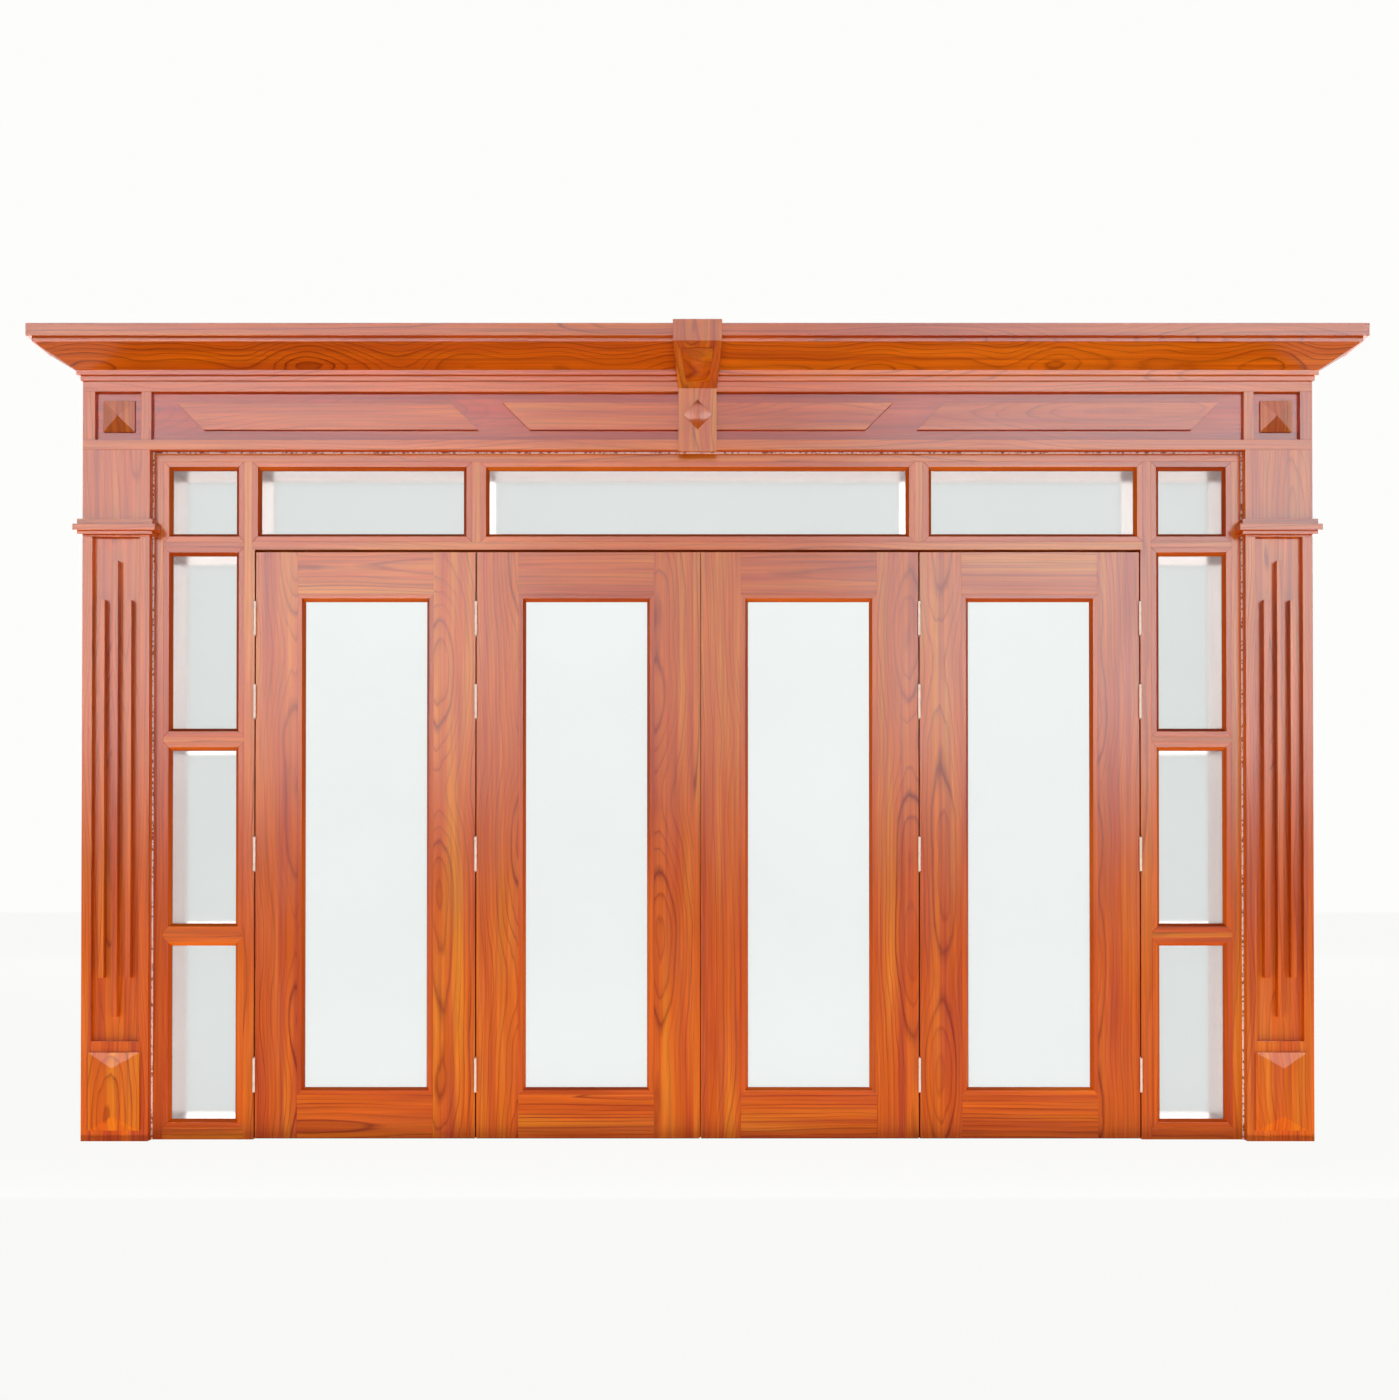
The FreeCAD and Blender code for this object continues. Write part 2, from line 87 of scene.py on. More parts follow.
def remap(tree, value, source, target):  # (low, high) of the socket to (low, high) of the result
    limits = {i + 1: limit for i, limit in enumerate(source + target)}
    return addNode(tree, "ShaderNodeMapRange", limits, {0: value}).outputs[0]


def colourRamp(tree, value, stops):  # stops run from low to high as (position, colour)
    ramp = addNode(tree, "ShaderNodeValToRGB", links={0: value})
    elements = ramp.color_ramp.elements
    elements[0].position, elements[0].color = stops[0]
    elements[-1].position, elements[-1].color = stops[-1]
    for position, colour in stops[1:-1]:
        elements.new(position).color = colour
    return ramp.outputs[0]


def mixColours(tree, colours, values=None, share=None, blend="MIX"):  # sockets 6 and 7 hold colours
    links = dict(colours)
    if share is not None:
        links[0] = share
    return addNode(tree, "ShaderNodeMix", values, links, data_type="RGBA",
                   blend_type=blend).outputs[2]


def stretchedNoise(tree, place, scales, detail):  # scales in repeats per metre
    scaled = addNode(tree, "ShaderNodeVectorMath", {1: scales}, {0: place}, operation="MULTIPLY")
    noise = addNode(tree, "ShaderNodeTexNoise", {"Scale": 1.0, "Detail": detail},
                    {"Vector": scaled.outputs[0]})
    return noise.outputs["Fac"]


def lineNoise(tree, place, scale, detail):  # noise along a single number
    noise = addNode(tree, "ShaderNodeTexNoise", {"Scale": scale, "Detail": detail}, {"W": place},
                    noise_dimensions="1D")
    return noise.outputs["Fac"]


def objectPlace(tree):
    return addNode(tree, "ShaderNodeTexCoord").outputs["Object"]


def newMaterial(name):
    material = bpy.data.materials.new(name)
    material.use_nodes = True
    material.node_tree.nodes.clear()
    return material, material.node_tree


def closeWithSurface(tree, values, links):
    surface = addNode(tree, "ShaderNodeBsdfPrincipled", values, links)
    addNode(tree, "ShaderNodeOutputMaterial", links={0: surface.outputs[0]})


def coatNode(node, material):  # gives a CAD piece its material, and leaves its shape alone
    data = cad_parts[node].data
    data.materials.clear()
    data.materials.append(material)


# varnished red hardwood: flat-sawn boards under gloss varnish, so the eye sees
# arched growth rings below a clear film that mirrors the light softly

# ring: metres between growth lines; faint: the least share of a line that shows;
# wander and pace: how far and how quickly the tree's heart strays along the board;
# heart: how far to the side of the board it may lie
timberLooks = {
    "leafTimber": {"pale": "#d0760e", "mid": "#c65a08", "red": "#b2420c", "line": "#6c1002",
                   "streak": "#a0341a", "ring": 0.013, "ringStrength": 1.0, "faint": 0.4,
                   "wander": 0.07, "pace": 0.7, "heart": 0.15},
    "railTimber": {"pale": "#d07210", "mid": "#c65808", "red": "#b2440a", "line": "#6c1002",
                   "streak": "#9c3414", "ring": 0.016, "ringStrength": 1.0, "faint": 0.5,
                   "wander": 0.03, "pace": 0.5, "heart": 0.22},
    "frameTimber": {"pale": "#d07010", "mid": "#c6580a", "red": "#b2440c", "line": "#701602",
                    "streak": "#98341c", "ring": 0.013, "ringStrength": 0.85, "faint": 0.35,
                    "wander": 0.05, "pace": 0.5, "heart": 0.16},
    "surroundTimber": {"pale": "#d26a10", "mid": "#c8560c", "red": "#b2400e", "line": "#741604",
                       "streak": "#9a3220", "ring": 0.012, "ringStrength": 0.9, "faint": 0.35,
                       "wander": 0.06, "pace": 0.5, "heart": 0.12},
    # the frieze board: a darker, redder copy of the timber, painted shade for the shadow that the
    # cornice casts on it
    "friezePaintedShadeTimber": {"pale": "#b83c14", "mid": "#ae2e10", "red": "#9c2210", "line": "#661004",
                     "streak": "#7c1c20", "ring": 0.014, "ringStrength": 0.7, "faint": 0.3,
                     "wander": 0.08, "pace": 0.5, "heart": 0.05},
    # the cornice soffit: a brighter, more orange copy of the timber with fewer dark streaks,
    # painted light for the bounce from the floor below it
    "soffitPaintedLightTimber": {"pale": "#d86a0a", "mid": "#cc5c06", "red": "#c05008", "line": "#601000",
                     "streak": "#ac480c", "ring": 0.016, "ringStrength": 1.0, "faint": 0.6,
                     "wander": 0.10, "pace": 0.9, "heart": 0.02},
    "beadTimber": {"pale": "#d2620a", "mid": "#c25008", "red": "#aa3c08", "line": "#822204",
                   "streak": "#8e3014", "ring": 0.006, "ringStrength": 0.4, "faint": 0.4,
                   "wander": 0.03, "pace": 0.5, "heart": 0.07},
}

# the rings of all the timbers: paces in waves per metre, depths in metres
rings = {
    "sidePace": 0.95, "sideDetail": 1.0,
    "belowPace": 1.7, "belowDetail": 1.2, "belowStart": 31.7, "belowLeast": 0.01,
    "rippleAlong": 4.2, "rippleAcross": 15.0, "rippleDetail": 3.0, "rippleDepth": 0.02,
    "yearPace": 40.0, "yearDetail": 1.0, "yearSpread": 1.6,
    # how dark a year is from its spring wood to its autumn wood
    "yearShape": ((0.0, 0.0), (0.5, 0.05), (0.74, 0.3), (0.87, 1.0), (0.94, 0.4), (1.0, 0.0)),
    "boldness": 2.2,
    "fade": ((1.2, 9.0, 9.0), 1.0), "fadeFrom": (0.35, 0.62), "fadeTo": (0.45, 1.0),
}

# the colours of all the timbers; each noise has its repeats per metre along, across and deep,
# and its detail
figure = {
    "bands": ((0.8, 16.0, 16.0), 2.5), "bandStops": (0.3, 0.5, 0.72),
    "streaks": ((0.5, 38.0, 38.0), 1.5), "streakFrom": (0.56, 0.72), "streakTo": (0.0, 0.6),
    "fibres": ((3.0, 130.0, 130.0), 3.0), "fibreFrom": (0.3, 0.7), "fibreTo": (0.84, 1.13),
}
varnish = {"ior": 1.5, "specular": 0.1, "rippleFrom": (0.3, 0.7), "roughness": (0.17, 0.24),
           "grooveStrength": 0.25, "grooveDepth": 0.0002}


def ringLines(tree, grain, look):  # 1 on a growth line, 0 between lines
    axes = addNode(tree, "ShaderNodeSeparateXYZ", links={0: grain})
    along, across, deep = axes.outputs
    # the heart of the tree wanders beside and below the board, which draws the arches
    side = lineNoise(tree, along, rings["sidePace"] * look["pace"], rings["sideDetail"])
    farAlong = mathStep(tree, "ADD", along, rings["belowStart"])
    below = lineNoise(tree, farAlong, rings["belowPace"] * look["pace"], rings["belowDetail"])
    sideShift = mathStep(tree, "MULTIPLY_ADD", side, look["wander"], -look["wander"] / 2)
    belowShift = mathStep(tree, "MULTIPLY_ADD", below, look["wander"] * 2, rings["belowLeast"])
    fromHeart = addNode(tree, "ShaderNodeCombineXYZ",
                        links={0: mathStep(tree, "ADD", across, sideShift),
                               1: mathStep(tree, "ADD", deep, belowShift)})
    radius = addNode(tree, "ShaderNodeVectorMath", links={0: fromHeart.outputs[0]},
                     operation="LENGTH").outputs["Value"]
    rippleScales = (rings["rippleAlong"] * look["pace"], rings["rippleAcross"],
                    rings["rippleAcross"])
    ripple = stretchedNoise(tree, grain, rippleScales, rings["rippleDetail"])
    rippled = mathStep(tree, "MULTIPLY_ADD", ripple, rings["rippleDepth"], radius)
    growth = lineNoise(tree, rippled, rings["yearPace"], rings["yearDetail"])
    uneven = mathStep(tree, "MULTIPLY_ADD", growth, look["ring"] * rings["yearSpread"], rippled)
    years = mathStep(tree, "DIVIDE", uneven, look["ring"])
    lines = colourRamp(tree, mathStep(tree, "FRACT", years),
                       [(place, (grey, grey, grey, 1)) for place, grey in rings["yearShape"]])
    # each year has a strength of its own, so a few lines are bold and most are faint
    chance = addNode(tree, "ShaderNodeTexWhiteNoise", links={"W": mathStep(tree, "FLOOR", years)},
                     noise_dimensions="1D")
    bold = mathStep(tree, "POWER", chance.outputs["Value"], rings["boldness"])
    strength = mathStep(tree, "MULTIPLY_ADD", bold, 1 - look["faint"], look["faint"])
    fade = stretchedNoise(tree, grain, *rings["fade"])
    faded = remap(tree, fade, rings["fadeFrom"], rings["fadeTo"])
    shown = mathStep(tree, "MULTIPLY", lines, strength)
    shown = mathStep(tree, "MULTIPLY", shown, faded)
    return mathStep(tree, "MULTIPLY", shown, look["ringStrength"]), ripple


def timberMaterial(name, look):
    material, tree = newMaterial(name)
    # the grain attribute is a place in the tree in metres: along, across and deep
    grain = addNode(tree, "ShaderNodeAttribute", attribute_name="grain").outputs["Vector"]
    tone = addNode(tree, "ShaderNodeAttribute", attribute_name="tone").outputs["Fac"]
    lines, ripple = ringLines(tree, grain, look)
    # slow bands of paler and redder wood, dull red streaks, then bundles of fibres 2 to 8 mm wide
    bands = stretchedNoise(tree, grain, *figure["bands"])
    bandStops = zip(figure["bandStops"], (linear(look[key]) for key in ("pale", "mid", "red")))
    banded = colourRamp(tree, mathStep(tree, "ADD", bands, tone), list(bandStops))
    streaks = stretchedNoise(tree, grain, *figure["streaks"])
    streakShare = remap(tree, streaks, figure["streakFrom"], figure["streakTo"])
    streaked = mixColours(tree, {6: banded}, {7: linear(look["streak"])}, streakShare)
    fibres = stretchedNoise(tree, grain, *figure["fibres"])
    fibreShade = remap(tree, fibres, figure["fibreFrom"], figure["fibreTo"])
    fibred = mixColours(tree, {6: streaked, 7: fibreShade}, {0: 1.0}, blend="MULTIPLY")
    ringed = mixColours(tree, {6: fibred}, {7: linear(look["line"])}, lines)
    gloss = remap(tree, ripple, varnish["rippleFrom"], varnish["roughness"])
    grooves = addNode(tree, "ShaderNodeBump", {"Strength": varnish["grooveStrength"],
                      "Distance": varnish["grooveDepth"]}, {"Height": lines}, invert=True)
    closeWithSurface(tree, {"IOR": varnish["ior"], "Specular IOR Level": varnish["specular"]},
                     {"Base Color": ringed, "Roughness": gloss, "Normal": grooves.outputs[0]})
    return material


timbers = {name: timberMaterial(name, look) for name, look in timberLooks.items()}
print("timber materials made")


# boards: each CAD solid becomes a planed board with eased arrises and a grain of its own

boards = {
    "arris": 0.0006,          # radius of the sanded edges
    "arrisSegments": 2,
    "sharpFrom": 20.0,        # degrees between faces that count as an edge
    "flatWithin": 1.0,        # degrees between faces that count as one
    "weld": 0.00001,          # metres between corners that count as one
    "toneSpread": 0.16,
    "slopeDepth": 0.2,        # share of its depth that a sloping face shows in the figure
    "treeLength": 60,         # metres of tree that the boards are sawn from
    "heartDepth": 0.02,
    "seed": 41,
}
upright = 2                   # the axis along which a board stands, where its shape doesn't say
boardRandom = random.Random(boards["seed"])
varnished = bpy.data.collections.new("varnishedTimber")  # the pieces that the gloss lamps light


def islands(mesh):  # the corners of each separate board in a mesh
    seen = set()
    for first in mesh.verts:
        if first in seen:
            continue
        island = []
        stack = [first]
        seen.add(first)
        while stack:
            vert = stack.pop()
            island.append(vert)
            for edge in vert.link_edges:
                other = edge.other_vert(vert)
                if other not in seen:
                    seen.add(other)
                    stack.append(other)
        yield island


def corners(island):
    low = Vector([min(vert.co[axis] for vert in island) for axis in range(3)])
    high = Vector([max(vert.co[axis] for vert in island) for axis in range(3)])
    return low, high


def boardAxes(size, along):  # a board's grain runs along its longest side, unless along says so
    order = sorted(range(3), key=lambda axis: size[axis], reverse=True)
    if along is not None:
        order.remove(along)
        order.insert(0, along)
    return order


def grainBoards(mesh, heart, along, depthShare):  # gives every board its own stretch of a tree
    grain = mesh.verts.layers.float_vector.new("grain")
    tone = mesh.verts.layers.float.new("tone")
    shares = (1, 1, depthShare)
    for island in islands(mesh):
        low, high = corners(island)
        axes = boardAxes(high - low, along)
        centre = (low + high) / 2
        shift = (boardRandom.uniform(0, boards["treeLength"]),
                 boardRandom.uniform(-1, 1) * heart,
                 boardRandom.uniform(0, boards["heartDepth"]))
        boardTone = boardRandom.uniform(-1, 1) * boards["toneSpread"] / 2
        for vert in island:
            local = vert.co - centre
            vert[grain] = Vector([local[axes[i]] * shares[i] + shift[i] for i in range(3)])
            vert[tone] = boardTone


def finishPiece(mesh, name, material, body):
    data = bpy.data.meshes.new(name)
    mesh.to_mesh(data)
    mesh.free()
    piece = bpy.data.objects.new(name, data)
    bpy.context.scene.collection.objects.link(piece)
    data.materials.append(material)
    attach(piece, body)
    return piece


def easeEdges(mesh, radius):
    sharp = [edge for edge in mesh.edges if len(edge.link_faces) == 2 and edge.is_convex
             and edge.calc_face_angle() > math.radians(boards["sharpFrom"])]
    bmesh.ops.bevel(mesh, geom=sharp, offset=radius, segments=boards["arrisSegments"],
                    profile=0.5, affect="EDGES", clamp_overlap=True)


def boardPiece(node, ending, timber, body="root", along=None, depthShare=1.0):
    mesh = bmesh.new()
    mesh.from_mesh(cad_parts[node].data)
    bmesh.ops.remove_doubles(mesh, verts=mesh.verts, dist=boards["weld"])
    bmesh.ops.dissolve_limit(mesh, angle_limit=math.radians(boards["flatWithin"]),
                             verts=mesh.verts, edges=mesh.edges)
    easeEdges(mesh, boards["arris"])
    grainBoards(mesh, timberLooks[timber]["heart"], along, depthShare)
    piece = finishPiece(mesh, node + ending, timbers[timber], body)
    varnished.objects.link(piece)
    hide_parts(node)


for body in ("leaf_1", "leaf_2", "leaf_3", "leaf_4"):
    boardPiece(body + "_stiles", "_planed", "leafTimber", body)
    boardPiece(body + "_rails", "_planed", "railTimber", body)
    boardPiece(body + "_beads", "_moulded", "beadTimber", body)
print("leaves dressed")

for node in ("left_outer_post", "right_outer_post", "left_jamb_post", "right_jamb_post",
             "frame_head", "transom_rail", "transom_mullions", "door_stops",
             "sidelight_linings", "transom_linings"):
    boardPiece(node, "_planed", "frameTimber")
boardPiece("sidelight_rails", "_planed", "railTimber")
for node in ("sidelight_beads", "transom_beads"):
    boardPiece(node, "_moulded", "beadTimber")
print("frame dressed")

for node in ("pilaster_plinths", "pilaster_heads", "pilaster_edge_boards",
             "pilaster_sunk_panels", "pilaster_reeds", "pilaster_caps", "frieze_rails",
             "frieze_uprights", "frieze_lozenges", "cornice_core", "cornice_bed_moulding",
             "cornice_fascia", "cornice_top_board"):
    boardPiece(node, "_planed", "surroundTimber")
boardPiece("frieze_board", "_planed", "friezePaintedShadeTimber")
for node in ("pilaster_base_panels", "frieze_corner_pyramids", "keystone_block",
             "keystone_plate", "keystone_raised_panels"):
    boardPiece(node, "_planed", "leafTimber", along=upright,
               depthShare=boards["slopeDepth"])
boardPiece("cornice_soffit", "_planed", "soffitPaintedLightTimber")
varnished.objects.unlink(bpy.data.objects["cornice_top_board_planed"])  # its top has no sheen
print("surround dressed")


# a thin cover strip on leaf 2 along the seam in the middle, with a lip that fills most of the gap

coverStrip = {"width": 0.021, "rise": 0.0012, "lip": 0.0045, "depth": 0.010, "arris": 0.0005,
              "timber": "railTimber"}


def boxInto(mesh, low, high):
    made = bmesh.ops.create_cube(mesh, size=1.0)
    size = Vector(high) - Vector(low)
    middle = (Vector(high) + Vector(low)) / 2
    for vert in made["verts"]:
        vert.co = Vector([vert.co[i] * size[i] + middle[i] for i in range(3)])


def coverStripPiece():
    low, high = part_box("leaf_2_stiles")
    mesh = bmesh.new()
    boxInto(mesh, (high[0] - coverStrip["width"], low[1] - coverStrip["rise"], low[2]),
            (high[0] + coverStrip["lip"], low[1] + coverStrip["depth"], high[2]))
    easeEdges(mesh, coverStrip["arris"])
    grainBoards(mesh, timberLooks[coverStrip["timber"]]["heart"], upright, 1.0)
    piece = finishPiece(mesh, "leaf_2_cover_strip", timbers[coverStrip["timber"]],
                        "leaf_2")
    varnished.objects.link(piece)


coverStripPiece()


# dark brown brush strips in the gaps between the leaves and below them: painted shade, so that the
# gaps read as dark lines; each pair is staggered in depth and passes when a leaf turns

paintedShadeBrush = {"foldReach": 0.0032, "meetingReach": 0.0033, "front": (0.014, 0.020),
         "rear": (0.024, 0.030), "paintedFootShadeDrop": 0.003, "paintedFootShadeDepths": (0.006, 0.034),
         "hingeMargin": 0.003, "dark": "#3a1008", "brown": "#6a2410", "roughness": 0.9,
         "specular": 0.1, "tufts": ((500.0, 60.0, 500.0), 2.0)}
paintedShadeBrushEdges = {
    "leaf_1": [("right", "foldReach", "front")],
    "leaf_2": [("left", "foldReach", "rear"), ("right", "meetingReach", "front")],
    "leaf_3": [("left", "meetingReach", "rear"), ("right", "foldReach", "rear")],
    "leaf_4": [("left", "foldReach", "front")],
}


# the dark brown pile of the gap strips, which paints the shade in the gaps
def paintedShadeBrushMaterial():
    material, tree = newMaterial("darkPaintedShadePile")
    tufts = stretchedNoise(tree, objectPlace(tree), *paintedShadeBrush["tufts"])
    colour = colourRamp(tree, tufts, [(0.0, linear(paintedShadeBrush["dark"])), (1.0, linear(paintedShadeBrush["brown"]))])
    closeWithSurface(tree, {"Roughness": paintedShadeBrush["roughness"],
                            "Specular IOR Level": paintedShadeBrush["specular"]}, {"Base Color": colour})
    return material


def hingeSpans(body, edgeX):  # heights that the hinges take up on one edge of a leaf
    mesh = bmesh.new()
    mesh.from_mesh(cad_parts[body + "_hinges"].data)
    boxes = [corners(island) for island in islands(mesh)]
    mesh.free()
    margin = paintedShadeBrush["hingeMargin"]
    spans = sorted((low.z - margin, high.z + margin) for low, high in boxes
                   if low.x - margin < edgeX < high.x + margin)
    joined = []
    for low, high in spans:
        if joined and low <= joined[-1][1]:
            joined[-1] = (joined[-1][0], max(joined[-1][1], high))
        else:
            joined.append((low, high))
    return joined


def paintedShadeBrushPiece(body, edges, material):
    low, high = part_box(body + "_stiles")
    mesh = bmesh.new()
    for side, reachName, depthName in edges:
        edgeX = low[0] if side == "left" else high[0]
        outward = -1 if side == "left" else 1
        xs = sorted((edgeX, edgeX + outward * paintedShadeBrush[reachName]))
        depths = paintedShadeBrush[depthName]
        spans = hingeSpans(body, edgeX)
        starts = [low[2]] + [top for bottom, top in spans]
        ends = [bottom for bottom, top in spans] + [high[2]]
        for start, end in zip(starts, ends):
            boxInto(mesh, (xs[0], depths[0], start), (xs[1], depths[1], end))
    # a dark strip under the leaf foot, painted shade for the gap above the floor
    paintedFootShade = paintedShadeBrush["paintedFootShadeDepths"]
    boxInto(mesh, (low[0], paintedFootShade[0], low[2] - paintedShadeBrush["paintedFootShadeDrop"]), (high[0], paintedFootShade[1], low[2]))
    finishPiece(mesh, body + "_painted_gap_shade_brushes", material, body)


paintedShadeBrushPile = paintedShadeBrushMaterial()
for body, edges in paintedShadeBrushEdges.items():
    paintedShadeBrushPiece(body, edges, paintedShadeBrushPile)
print("cover strip and brush seals done")


# glass: 6 mm float panes with a pale film, which scatters the light a little; the fixed panes get a
# greyer tint that is painted shade

glassLooks = {
    "leafGlass": {"nodes": ["leaf_1_glass", "leaf_2_glass", "leaf_3_glass", "leaf_4_glass"],
                  "colour": "#f6fbfb"},
    # the sidelight and transom panes: a greyer tint than the leaf panes, painted shade
    "fixedGlassPaintedShade": {"nodes": ["sidelight_glass", "transom_glass"], "colour": "#e6ebeb"},
}
pane = {"ior": 1.5, "roughness": 0.2, "transmission": 0.85, "specular": 0.3,
        "clouds": ((1.3, 1.3, 1.3), 2.0), "cloudFrom": 0.3, "cloudTo": 0.7, "cloudShade": 0.97}


def glassMaterial(name, colour):
    material, tree = newMaterial(name)
    clear = linear(colour)
    cloudy = tuple(pane["cloudShade"] * channel for channel in clear[:3]) + (1,)
    clouds = stretchedNoise(tree, objectPlace(tree), *pane["clouds"])
    tint = colourRamp(tree, clouds, [(pane["cloudFrom"], cloudy), (pane["cloudTo"], clear)])
    closeWithSurface(tree, {"IOR": pane["ior"], "Roughness": pane["roughness"],
                            "Specular IOR Level": pane["specular"],
                            "Transmission Weight": pane["transmission"]}, {"Base Color": tint})
    return material


for name, look in glassLooks.items():
    material = glassMaterial(name, look["colour"])
    for node in look["nodes"]:
        coatNode(node, material)
print("glass done")


# hinges: satin stainless steel, brushed along the knuckles, so they catch a warm soft light

hingeLook = {"colour": "#fff0e2", "dark": "#e2cbb8", "darkTo": 0.3, "colourFrom": 0.6,
             "brushing": ((900.0, 900.0, 40.0), 2.0), "brushingFrom": (0.3, 0.7),
             "roughness": (0.24, 0.38)}
hingeBodies = {"root": "jamb_hinges", "leaf_1": "leaf_1_hinges", "leaf_2": "leaf_2_hinges",
               "leaf_3": "leaf_3_hinges", "leaf_4": "leaf_4_hinges"}


def steelMaterial():
    material, tree = newMaterial("satinStainlessSteel")
    brushing = stretchedNoise(tree, objectPlace(tree), *hingeLook["brushing"])
    colour = colourRamp(tree, brushing, [(hingeLook["darkTo"], linear(hingeLook["dark"])),
                                         (hingeLook["colourFrom"], linear(hingeLook["colour"]))])
    gloss = remap(tree, brushing, hingeLook["brushingFrom"], hingeLook["roughness"])
    closeWithSurface(tree, {"Metallic": 1.0}, {"Base Color": colour, "Roughness": gloss})
    return material


steel = steelMaterial()
for node in hingeBodies.values():
    coatNode(node, steel)


# slotted screws on the hinge flaps, four to a flap, repeated with geometry nodes

# flapGap: from the pin's plane to a flap's face; heights: shares of the flap's height;
# depths: places from the front of the leaf, by turns; cornerReach: how near to the front or
# the back of a hinge a corner has to be to count there
screws = {"diameter": 0.0082, "rise": 0.00035, "slot": 0.0013, "slotReach": 1.2, "sides": 24,
          "seed": 7, "flapGap": 0.0005, "heights": (0.1, 0.36, 0.64, 0.9),
          "depths": (0.0225, 0.0115), "cornerReach": 0.001}


def screwTree():
    tree = bpy.data.node_groups.new("slottedScrewsOnPoints", "GeometryNodeTree")
    face = tree.interface
    face.new_socket(name="Geometry", in_out="INPUT", socket_type="NodeSocketGeometry")
    for label in ("Head Diameter", "Head Rise", "Slot Width"):
        face.new_socket(name=label, in_out="INPUT", socket_type="NodeSocketFloat")
    face.new_socket(name="Seed", in_out="INPUT", socket_type="NodeSocketInt")
    face.new_socket(name="Material", in_out="INPUT", socket_type="NodeSocketMaterial")
    face.new_socket(name="Geometry", in_out="OUTPUT", socket_type="NodeSocketGeometry")
    given = addNode(tree, "NodeGroupInput").outputs
    # a head that is half sunk in the flap, with a slot cut across its top
    radius = mathStep(tree, "MULTIPLY", given["Head Diameter"], 0.5)
    depth = mathStep(tree, "MULTIPLY", given["Head Rise"], 2.0)
    head = addNode(tree, "GeometryNodeMeshCylinder", {"Vertices": screws["sides"]},
                   {"Radius": radius, "Depth": depth})
    slotLength = mathStep(tree, "MULTIPLY", given["Head Diameter"], screws["slotReach"])
    slotSize = addNode(tree, "ShaderNodeCombineXYZ",
                       links={0: slotLength, 1: given["Slot Width"], 2: depth})
    slotPlace = addNode(tree, "ShaderNodeCombineXYZ", links={2: depth})
    slot = addNode(tree, "GeometryNodeMeshCube", links={"Size": slotSize.outputs[0]})
    raised = addNode(tree, "GeometryNodeTransform",
                     links={"Geometry": slot.outputs[0], "Translation": slotPlace.outputs[0]})
    slotted = addNode(tree, "GeometryNodeMeshBoolean",
                      links={"Mesh 1": head.outputs[0], "Mesh 2": raised.outputs[0]},
                      operation="DIFFERENCE")
    # each head is tipped to face the way its flap does, and driven to a turn of its own
    facing = addNode(tree, "GeometryNodeInputNamedAttribute", {"Name": "facing"},
                     data_type="FLOAT")
    tip = mathStep(tree, "MULTIPLY", facing.outputs[0], math.pi / 2)
    tipped = addNode(tree, "ShaderNodeCombineXYZ", links={1: tip})
    tipTurn = addNode(tree, "FunctionNodeEulerToRotation", links={0: tipped.outputs[0]})
    placed = addNode(tree, "GeometryNodeInstanceOnPoints",
                     links={"Points": given["Geometry"], "Instance": slotted.outputs[0],
                            "Rotation": tipTurn.outputs[0]})
    spin = addNode(tree, "FunctionNodeRandomValue", {3: math.pi}, {"Seed": given["Seed"]},
                   data_type="FLOAT")
    spun = addNode(tree, "ShaderNodeCombineXYZ", links={2: spin.outputs[1]})
    spinTurn = addNode(tree, "FunctionNodeEulerToRotation", links={0: spun.outputs[0]})
    driven = addNode(tree, "GeometryNodeRotateInstances", {"Local Space": True},
                     {"Instances": placed.outputs[0], "Rotation": spinTurn.outputs[0]})
    real = addNode(tree, "GeometryNodeRealizeInstances", links={0: driven.outputs[0]})
    coloured = addNode(tree, "GeometryNodeSetMaterial",
                       links={"Geometry": real.outputs[0], "Material": given["Material"]})
    addNode(tree, "NodeGroupOutput", links={0: coloured.outputs[0]})
    return tree


def screwPoints(node):  # places on the flaps of one body's hinges, and the side each flap faces
    mesh = bmesh.new()
    mesh.from_mesh(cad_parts[node].data)
    reach = screws["cornerReach"]
    points = []
    facings = []
    for island in islands(mesh):
        low, high = corners(island)
        front = [vert.co.x for vert in island if vert.co.y < low.y + reach]
        flap = [vert.co.x for vert in island if vert.co.y > high.y - reach]
        pinX = (min(front) + max(front)) / 2
        flapSide = 1 if sum(flap) / len(flap) > pinX else -1
        for i, share in enumerate(screws["heights"]):
            points.append((pinX + flapSide * screws["flapGap"], screws["depths"][i % 2],
                           low.z + share * (high.z - low.z)))
            facings.append(-flapSide)
    mesh.free()
    return points, facings


def repeatedPiece(name, points, facings, tree, values, body):
    seedMesh = bpy.data.meshes.new(name)
    seedMesh.from_pydata(points, [], [])
    seedMesh.attributes.new("facing", "FLOAT", "POINT").data.foreach_set("value", facings)
    piece = bpy.data.objects.new(name, seedMesh)
    bpy.context.scene.collection.objects.link(piece)
    modifier = piece.modifiers.new("repeat", "NODES")
    modifier.node_group = tree
    for item in tree.interface.items_tree:
        if item.in_out == "INPUT" and item.name in values:
            modifier[item.identifier] = values[item.name]
    evaluated = piece.evaluated_get(bpy.context.evaluated_depsgraph_get())
    solid = bpy.data.meshes.new_from_object(evaluated)
    piece.modifiers.remove(modifier)
    piece.data = solid
    bpy.data.meshes.remove(seedMesh)
    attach(piece, body)


screwNodes = screwTree()
screwValues = {"Head Diameter": screws["diameter"], "Head Rise": screws["rise"],
               "Slot Width": screws["slot"], "Seed": screws["seed"], "Material": steel}
for body, node in hingeBodies.items():
    points, facings = screwPoints(node)
    repeatedPiece(node + "_screws", points, facings, screwNodes, screwValues, body)
print("hinges done")


# sealant between the surround and the frame: matt and pale, with thin brown patches where
# the timber shows through

